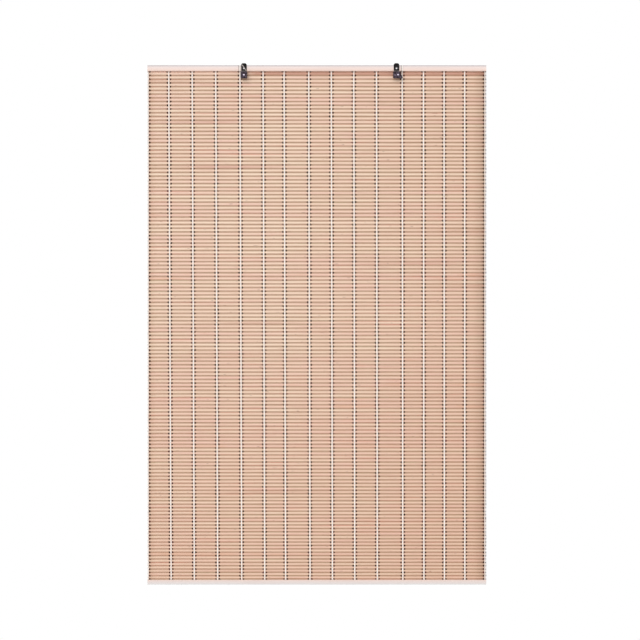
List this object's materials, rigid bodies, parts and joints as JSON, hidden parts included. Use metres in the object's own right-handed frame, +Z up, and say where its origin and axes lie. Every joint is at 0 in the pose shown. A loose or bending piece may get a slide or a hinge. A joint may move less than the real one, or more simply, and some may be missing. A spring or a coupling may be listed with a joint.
{
  "type": "bamboo roll up blind",
  "caption": "Hanging blind of woven bamboo slats between a head batten and a foot batten, with a pulley and a cord lock; the mat rolls up from its foot.",
  "frame": {"origin": "midway between the two fixing holes of the head, at the middle of the mat's thickness", "axes": "+Z up along the mat's height, +X to the viewer's right across its width, +Y into the wall, so the face looks along -Y"},
  "size_m": [0.8, 0.0222, 1.2307],
  "materials": {
    "bamboo_slat": "split bamboo, satin, with the faint lustre of its skin",
    "pale_batten": "pale limed wood, matt",
    "black_bracket": "black satin paint on steel sheet",
    "eyelet": "bright plated",
    "pewter_housing": "dark pewter plating, glossy",
    "cord_wheel": "moulded, plain",
    "cam": "cast, plain",
    "rivet": "bright heads"
  },
  "bodies": {
    "head": {"head_batten_front": "pale_batten", "head_batten_rear": "pale_batten", "slats_01": "bamboo_slat", "bracket_left": "black_bracket", "bracket_right": "black_bracket", "bracket_eyelets": "eyelet", "pulley_housing": "pewter_housing", "cord_lock_housing": "pewter_housing", "axle_pins": "rivet"},
    "mat_02": {"slats_02": "bamboo_slat"},
    "mat_03": {"slats_03": "bamboo_slat"},
    "mat_04": {"slats_04": "bamboo_slat"},
    "mat_05": {"slats_05": "bamboo_slat"},
    "mat_06": {"slats_06": "bamboo_slat"},
    "mat_07": {"slats_07": "bamboo_slat"},
    "mat_08": {"slats_08": "bamboo_slat"},
    "mat_09": {"slats_09": "bamboo_slat"},
    "mat_10": {"slats_10": "bamboo_slat"},
    "mat_11": {"slats_11": "bamboo_slat"},
    "mat_12": {"slats_12": "bamboo_slat"},
    "mat_13": {"slats_13": "bamboo_slat"},
    "mat_14": {"slats_14": "bamboo_slat"},
    "mat_15": {"slats_15": "bamboo_slat"},
    "mat_16": {"slats_16": "bamboo_slat"},
    "mat_17": {"slats_17": "bamboo_slat"},
    "mat_18": {"slats_18": "bamboo_slat"},
    "mat_19": {"slats_19": "bamboo_slat"},
    "mat_20": {"slats_20": "bamboo_slat"},
    "mat_21": {"slats_21": "bamboo_slat"},
    "mat_22": {"slats_22": "bamboo_slat"},
    "mat_23": {"slats_23": "bamboo_slat"},
    "mat_24": {"slats_24": "bamboo_slat"},
    "mat_25": {"slats_25": "bamboo_slat"},
    "mat_26": {"slats_26": "bamboo_slat"},
    "mat_27": {"slats_27": "bamboo_slat"},
    "mat_28": {"slats_28": "bamboo_slat"},
    "mat_29": {"slats_29": "bamboo_slat"},
    "mat_30": {"slats_30": "bamboo_slat"},
    "mat_31": {"slats_31": "bamboo_slat"},
    "mat_32": {"slats_32": "bamboo_slat"},
    "mat_33": {"slats_33": "bamboo_slat"},
    "mat_34": {"slats_34": "bamboo_slat"},
    "mat_35": {"slats_35": "bamboo_slat"},
    "mat_36": {"slats_36": "bamboo_slat"},
    "mat_37": {"slats_37": "bamboo_slat"},
    "mat_38": {"slats_38": "bamboo_slat"},
    "mat_39": {"slats_39": "bamboo_slat"},
    "mat_40": {"slats_40": "bamboo_slat"},
    "mat_41": {"slats_41": "bamboo_slat"},
    "mat_42": {"slats_42": "bamboo_slat"},
    "mat_43": {"slats_43": "bamboo_slat"},
    "mat_44": {"slats_44": "bamboo_slat"},
    "mat_45": {"slats_45": "bamboo_slat"},
    "mat_46": {"slats_46": "bamboo_slat"},
    "foot": {"slats_47": "bamboo_slat", "foot_batten_front": "pale_batten", "foot_batten_rear": "pale_batten"},
    "pulley_wheel": {"pulley_wheel": "cord_wheel"},
    "cord_lock_wheel": {"cord_lock_wheel": "cord_wheel"},
    "cord_lock_cam": {"cord_lock_cam": "cam"}
  },
  "joints": [
    {"name": "mat_bend_02", "type": "hinge", "parent": "head", "child": "mat_02", "pos_m": [-0.008, 0, -0.03424], "axis": [-1, 0, 0], "range_deg": [0, 2]},
    {"name": "mat_bend_03", "type": "hinge", "parent": "mat_02", "child": "mat_03", "pos_m": [-0.008, 0, -0.06948], "axis": [-1, 0, 0], "range_deg": [0, 2]},
    {"name": "mat_bend_04", "type": "hinge", "parent": "mat_03", "child": "mat_04", "pos_m": [-0.008, 0, -0.10472], "axis": [-1, 0, 0], "range_deg": [0, 22]},
    {"name": "mat_bend_05", "type": "hinge", "parent": "mat_04", "child": "mat_05", "pos_m": [-0.008, 0, -0.13995], "axis": [-1, 0, 0], "range_deg": [0, 41.5]},
    {"name": "mat_bend_06", "type": "hinge", "parent": "mat_05", "child": "mat_06", "pos_m": [-0.008, 0, -0.17519], "axis": [-1, 0, 0], "range_deg": [0, 42.14]},
    {"name": "mat_bend_07", "type": "hinge", "parent": "mat_06", "child": "mat_07", "pos_m": [-0.008, 0, -0.21041], "axis": [-1, 0, 0], "range_deg": [0, 42.82]},
    {"name": "mat_bend_08", "type": "hinge", "parent": "mat_07", "child": "mat_08", "pos_m": [-0.008, 0, -0.24563], "axis": [-1, 0, 0], "range_deg": [0, 43.57]},
    {"name": "mat_bend_09", "type": "hinge", "parent": "mat_08", "child": "mat_09", "pos_m": [-0.008, 0, -0.28083], "axis": [-1, 0, 0], "range_deg": [0, 44.32]},
    {"name": "mat_bend_10", "type": "hinge", "parent": "mat_09", "child": "mat_10", "pos_m": [-0.008, 0, -0.31602], "axis": [-1, 0, 0], "range_deg": [0, 45.12]},
    {"name": "mat_bend_11", "type": "hinge", "parent": "mat_10", "child": "mat_11", "pos_m": [-0.008, 0, -0.35118], "axis": [-1, 0, 0], "range_deg": [0, 45.98]},
    {"name": "mat_bend_12", "type": "hinge", "parent": "mat_11", "child": "mat_12", "pos_m": [-0.008, 0, -0.38632], "axis": [-1, 0, 0], "range_deg": [0, 46.9]},
    {"name": "mat_bend_13", "type": "hinge", "parent": "mat_12", "child": "mat_13", "pos_m": [-0.008, 0, -0.42143], "axis": [-1, 0, 0], "range_deg": [0, 47.88]},
    {"name": "mat_bend_14", "type": "hinge", "parent": "mat_13", "child": "mat_14", "pos_m": [-0.008, 0, -0.45649], "axis": [-1, 0, 0], "range_deg": [0, 42.48]},
    {"name": "mat_bend_15", "type": "hinge", "parent": "mat_14", "child": "mat_15", "pos_m": [-0.008, 0, -0.48276], "axis": [-1, 0, 0], "range_deg": [0, 36.76]},
    {"name": "mat_bend_16", "type": "hinge", "parent": "mat_15", "child": "mat_16", "pos_m": [-0.008, 0, -0.50901], "axis": [-1, 0, 0], "range_deg": [0, 37.39]},
    {"name": "mat_bend_17", "type": "hinge", "parent": "mat_16", "child": "mat_17", "pos_m": [-0.008, 0, -0.53521], "axis": [-1, 0, 0], "range_deg": [0, 38.08]},
    {"name": "mat_bend_18", "type": "hinge", "parent": "mat_17", "child": "mat_18", "pos_m": [-0.008, 0, -0.56139], "axis": [-1, 0, 0], "range_deg": [0, 38.77]},
    {"name": "mat_bend_19", "type": "hinge", "parent": "mat_18", "child": "mat_19", "pos_m": [-0.008, 0, -0.58753], "axis": [-1, 0, 0], "range_deg": [0, 39.52]},
    {"name": "mat_bend_20", "type": "hinge", "parent": "mat_19", "child": "mat_20", "pos_m": [-0.008, 0, -0.61362], "axis": [-1, 0, 0], "range_deg": [0, 40.33]},
    {"name": "mat_bend_21", "type": "hinge", "parent": "mat_20", "child": "mat_21", "pos_m": [-0.008, 0, -0.63967], "axis": [-1, 0, 0], "range_deg": [0, 40.73]},
    {"name": "mat_bend_22", "type": "hinge", "parent": "mat_21", "child": "mat_22", "pos_m": [-0.008, 0, -0.66566], "axis": [-1, 0, 0], "range_deg": [0, 41.86]},
    {"name": "mat_bend_23", "type": "hinge", "parent": "mat_22", "child": "mat_23", "pos_m": [-0.008, 0, -0.6916], "axis": [-1, 0, 0], "range_deg": [0, 42.55]},
    {"name": "mat_bend_24", "type": "hinge", "parent": "mat_23", "child": "mat_24", "pos_m": [-0.008, 0, -0.71749], "axis": [-1, 0, 0], "range_deg": [0, 43.29]},
    {"name": "mat_bend_25", "type": "hinge", "parent": "mat_24", "child": "mat_25", "pos_m": [-0.008, 0, -0.7433], "axis": [-1, 0, 0], "range_deg": [0, 44.1]},
    {"name": "mat_bend_26", "type": "hinge", "parent": "mat_25", "child": "mat_26", "pos_m": [-0.008, 0, -0.76905], "axis": [-1, 0, 0], "range_deg": [0, 44.96]},
    {"name": "mat_bend_27", "type": "hinge", "parent": "mat_26", "child": "mat_27", "pos_m": [-0.008, 0, -0.79473], "axis": [-1, 0, 0], "range_deg": [0, 45.88]},
    {"name": "mat_bend_28", "type": "hinge", "parent": "mat_27", "child": "mat_28", "pos_m": [-0.008, 0, -0.82032], "axis": [-1, 0, 0], "range_deg": [0, 46.85]},
    {"name": "mat_bend_29", "type": "hinge", "parent": "mat_28", "child": "mat_29", "pos_m": [-0.008, 0, -0.84584], "axis": [-1, 0, 0], "range_deg": [0, 47.89]},
    {"name": "mat_bend_30", "type": "hinge", "parent": "mat_29", "child": "mat_30", "pos_m": [-0.008, 0, -0.87126], "axis": [-1, 0, 0], "range_deg": [0, 48.98]},
    {"name": "mat_bend_31", "type": "hinge", "parent": "mat_30", "child": "mat_31", "pos_m": [-0.008, 0, -0.89659], "axis": [-1, 0, 0], "range_deg": [0, 50.25]},
    {"name": "mat_bend_32", "type": "hinge", "parent": "mat_31", "child": "mat_32", "pos_m": [-0.008, 0, -0.92181], "axis": [-1, 0, 0], "range_deg": [0, 51.63]},
    {"name": "mat_bend_33", "type": "hinge", "parent": "mat_32", "child": "mat_33", "pos_m": [-0.008, 0, -0.94693], "axis": [-1, 0, 0], "range_deg": [0, 53.12]},
    {"name": "mat_bend_34", "type": "hinge", "parent": "mat_33", "child": "mat_34", "pos_m": [-0.008, 0, -0.97194], "axis": [-1, 0, 0], "range_deg": [0, 54.79]},
    {"name": "mat_bend_35", "type": "hinge", "parent": "mat_34", "child": "mat_35", "pos_m": [-0.008, 0, -0.99682], "axis": [-1, 0, 0], "range_deg": [0, 56.69]},
    {"name": "mat_bend_36", "type": "hinge", "parent": "mat_35", "child": "mat_36", "pos_m": [-0.008, 0, -1.02158], "axis": [-1, 0, 0], "range_deg": [0, 48.33]},
    {"name": "mat_bend_37", "type": "hinge", "parent": "mat_36", "child": "mat_37", "pos_m": [-0.008, 0, -1.03801], "axis": [-1, 0, 0], "range_deg": [0, 39.21]},
    {"name": "mat_bend_38", "type": "hinge", "parent": "mat_37", "child": "mat_38", "pos_m": [-0.008, 0, -1.05439], "axis": [-1, 0, 0], "range_deg": [0, 40.25]},
    {"name": "mat_bend_39", "type": "hinge", "parent": "mat_38", "child": "mat_39", "pos_m": [-0.008, 0, -1.07069], "axis": [-1, 0, 0], "range_deg": [0, 41.4]},
    {"name": "mat_bend_40", "type": "hinge", "parent": "mat_39", "child": "mat_40", "pos_m": [-0.008, 0, -1.08694], "axis": [-1, 0, 0], "range_deg": [0, 42.73]},
    {"name": "mat_bend_41", "type": "hinge", "parent": "mat_40", "child": "mat_41", "pos_m": [-0.008, 0, -1.10311], "axis": [-1, 0, 0], "range_deg": [0, 44.18]},
    {"name": "mat_bend_42", "type": "hinge", "parent": "mat_41", "child": "mat_42", "pos_m": [-0.008, 0, -1.11922], "axis": [-1, 0, 0], "range_deg": [0, 45.8]},
    {"name": "mat_bend_43", "type": "hinge", "parent": "mat_42", "child": "mat_43", "pos_m": [-0.008, 0, -1.13525], "axis": [-1, 0, 0], "range_deg": [0, 46.77]},
    {"name": "mat_bend_44", "type": "hinge", "parent": "mat_43", "child": "mat_44", "pos_m": [-0.008, 0, -1.15121], "axis": [-1, 0, 0], "range_deg": [0, 49.24]},
    {"name": "mat_bend_45", "type": "hinge", "parent": "mat_44", "child": "mat_45", "pos_m": [-0.008, 0, -1.1671], "axis": [-1, 0, 0], "range_deg": [0, 50.92]},
    {"name": "mat_bend_46", "type": "hinge", "parent": "mat_45", "child": "mat_46", "pos_m": [-0.008, 0, -1.1829], "axis": [-1, 0, 0], "range_deg": [0, 52.82]},
    {"name": "mat_bend_47", "type": "hinge", "parent": "mat_46", "child": "foot", "pos_m": [-0.008, 0, -1.19863], "axis": [-1, 0, 0], "range_deg": [0, 74]},
    {"name": "pulley_wheel_spin", "type": "hinge", "parent": "head", "child": "pulley_wheel", "pos_m": [-0.18, -0.01175, -0.0162], "axis": [0, 1, 0], "continuous": true},
    {"name": "cord_lock_wheel_spin", "type": "hinge", "parent": "head", "child": "cord_lock_wheel", "pos_m": [0.1834, -0.01175, -0.0162], "axis": [0, 1, 0], "continuous": true},
    {"name": "cord_lock_cam_pivot", "type": "hinge", "parent": "head", "child": "cord_lock_cam", "pos_m": [0.1767, -0.01175, -0.017], "axis": [0, 1, 0], "range_deg": [-32, 20]}
  ]
}
